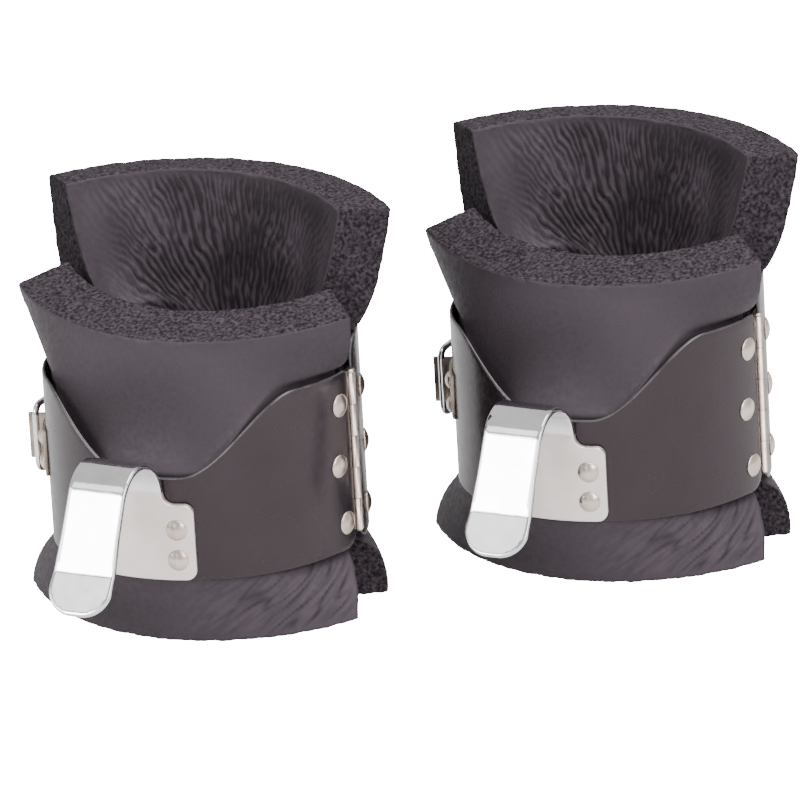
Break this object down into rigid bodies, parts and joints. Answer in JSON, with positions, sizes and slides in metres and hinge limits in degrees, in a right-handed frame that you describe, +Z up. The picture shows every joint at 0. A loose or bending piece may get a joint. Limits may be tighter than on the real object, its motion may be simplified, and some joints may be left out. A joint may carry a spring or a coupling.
{
  "type": "gravity boots",
  "caption": "Pair of hinged steel ankle cuffs with thick foam linings, a front hook to hang from a bar and a side toggle latch on each.",
  "frame": {"origin": "centre of the pair's footprint, on the surface it stands on", "axes": "+Z up, as the boots stand with the hook openings down; -Y towards the hooks; +X towards the hinges, -X towards the latches"},
  "size_m": [0.325, 0.3334, 0.1935],
  "materials": {
    "shell": "satin black enamel",
    "foam": "dark grey closed-cell foam, smooth skin, cut edges",
    "hook": "bright plated",
    "rivet": "nickel plated, lightly worn",
    "hinge": "nickel plated",
    "catch": "dull plated, tarnished",
    "latch": "bright plated"
  },
  "bodies": {
    "left_rear_half": {"left_rear_shell": "shell", "left_rear_pad": "foam", "left_hinge_rear_leaf": "hinge", "left_hinge_rear_rivets": "rivet", "left_hinge_pin": "hinge", "left_lever_base": "latch", "left_lever_base_rivets": "rivet", "left_lever_pin": "latch"},
    "left_front_half": {"left_front_shell": "shell", "left_front_pad": "foam", "left_hook": "hook", "left_hook_rivets": "rivet", "left_hinge_front_leaf": "hinge", "left_hinge_front_rivets": "rivet", "left_catch": "catch", "left_catch_rivets": "rivet"},
    "left_lever_body": {"left_lever": "latch"},
    "left_bail_body": {"left_bail": "latch"},
    "right_rear_half": {"right_rear_shell": "shell", "right_rear_pad": "foam", "right_hinge_rear_leaf": "hinge", "right_hinge_rear_rivets": "rivet", "right_hinge_pin": "hinge", "right_lever_base": "latch", "right_lever_base_rivets": "rivet", "right_lever_pin": "latch"},
    "right_front_half": {"right_front_shell": "shell", "right_front_pad": "foam", "right_hook": "hook", "right_hook_rivets": "rivet", "right_hinge_front_leaf": "hinge", "right_hinge_front_rivets": "rivet", "right_catch": "catch", "right_catch_rivets": "rivet"},
    "right_lever_body": {"right_lever": "latch"},
    "right_bail_body": {"right_bail": "latch"}
  },
  "joints": [
    {"name": "left_hinge", "type": "hinge", "parent": "left_rear_half", "child": "left_front_half", "pos_m": [0.0017, -0.02797, 0.077], "axis": [0, 0, 1], "range_deg": [0, 100]},
    {"name": "left_lever_pivot", "type": "hinge", "parent": "left_rear_half", "child": "left_lever_body", "pos_m": [-0.153, -0.01798, 0.07475], "axis": [0, 0, 1], "range_deg": [0, 150]},
    {"name": "left_bail_pivot", "type": "hinge", "parent": "left_lever_body", "child": "left_bail_body", "pos_m": [-0.15217, -0.00932, 0.07475], "axis": [0, 0, 1], "range_deg": [-165, 0]},
    {"name": "right_boot_lift", "type": "slide", "parent": "left_rear_half", "child": "right_rear_half", "axis": [0, 0, 1], "range_m": [0, 0.2]},
    {"name": "right_hinge", "type": "hinge", "parent": "right_rear_half", "child": "right_front_half", "pos_m": [0.1487, 0.09953, 0.077], "axis": [0, 0, 1], "range_deg": [0, 100]},
    {"name": "right_lever_pivot", "type": "hinge", "parent": "right_rear_half", "child": "right_lever_body", "pos_m": [-0.006, 0.10952, 0.07475], "axis": [0, 0, 1], "range_deg": [0, 150]},
    {"name": "right_bail_pivot", "type": "hinge", "parent": "right_lever_body", "child": "right_bail_body", "pos_m": [-0.00517, 0.11818, 0.07475], "axis": [0, 0, 1], "range_deg": [-165, 0]}
  ],
  "couplings": [
    {"joint": "left_bail_pivot", "follows": "left_lever_pivot", "ratio": -1.1},
    {"joint": "right_bail_pivot", "follows": "right_lever_pivot", "ratio": -1.1}
  ]
}
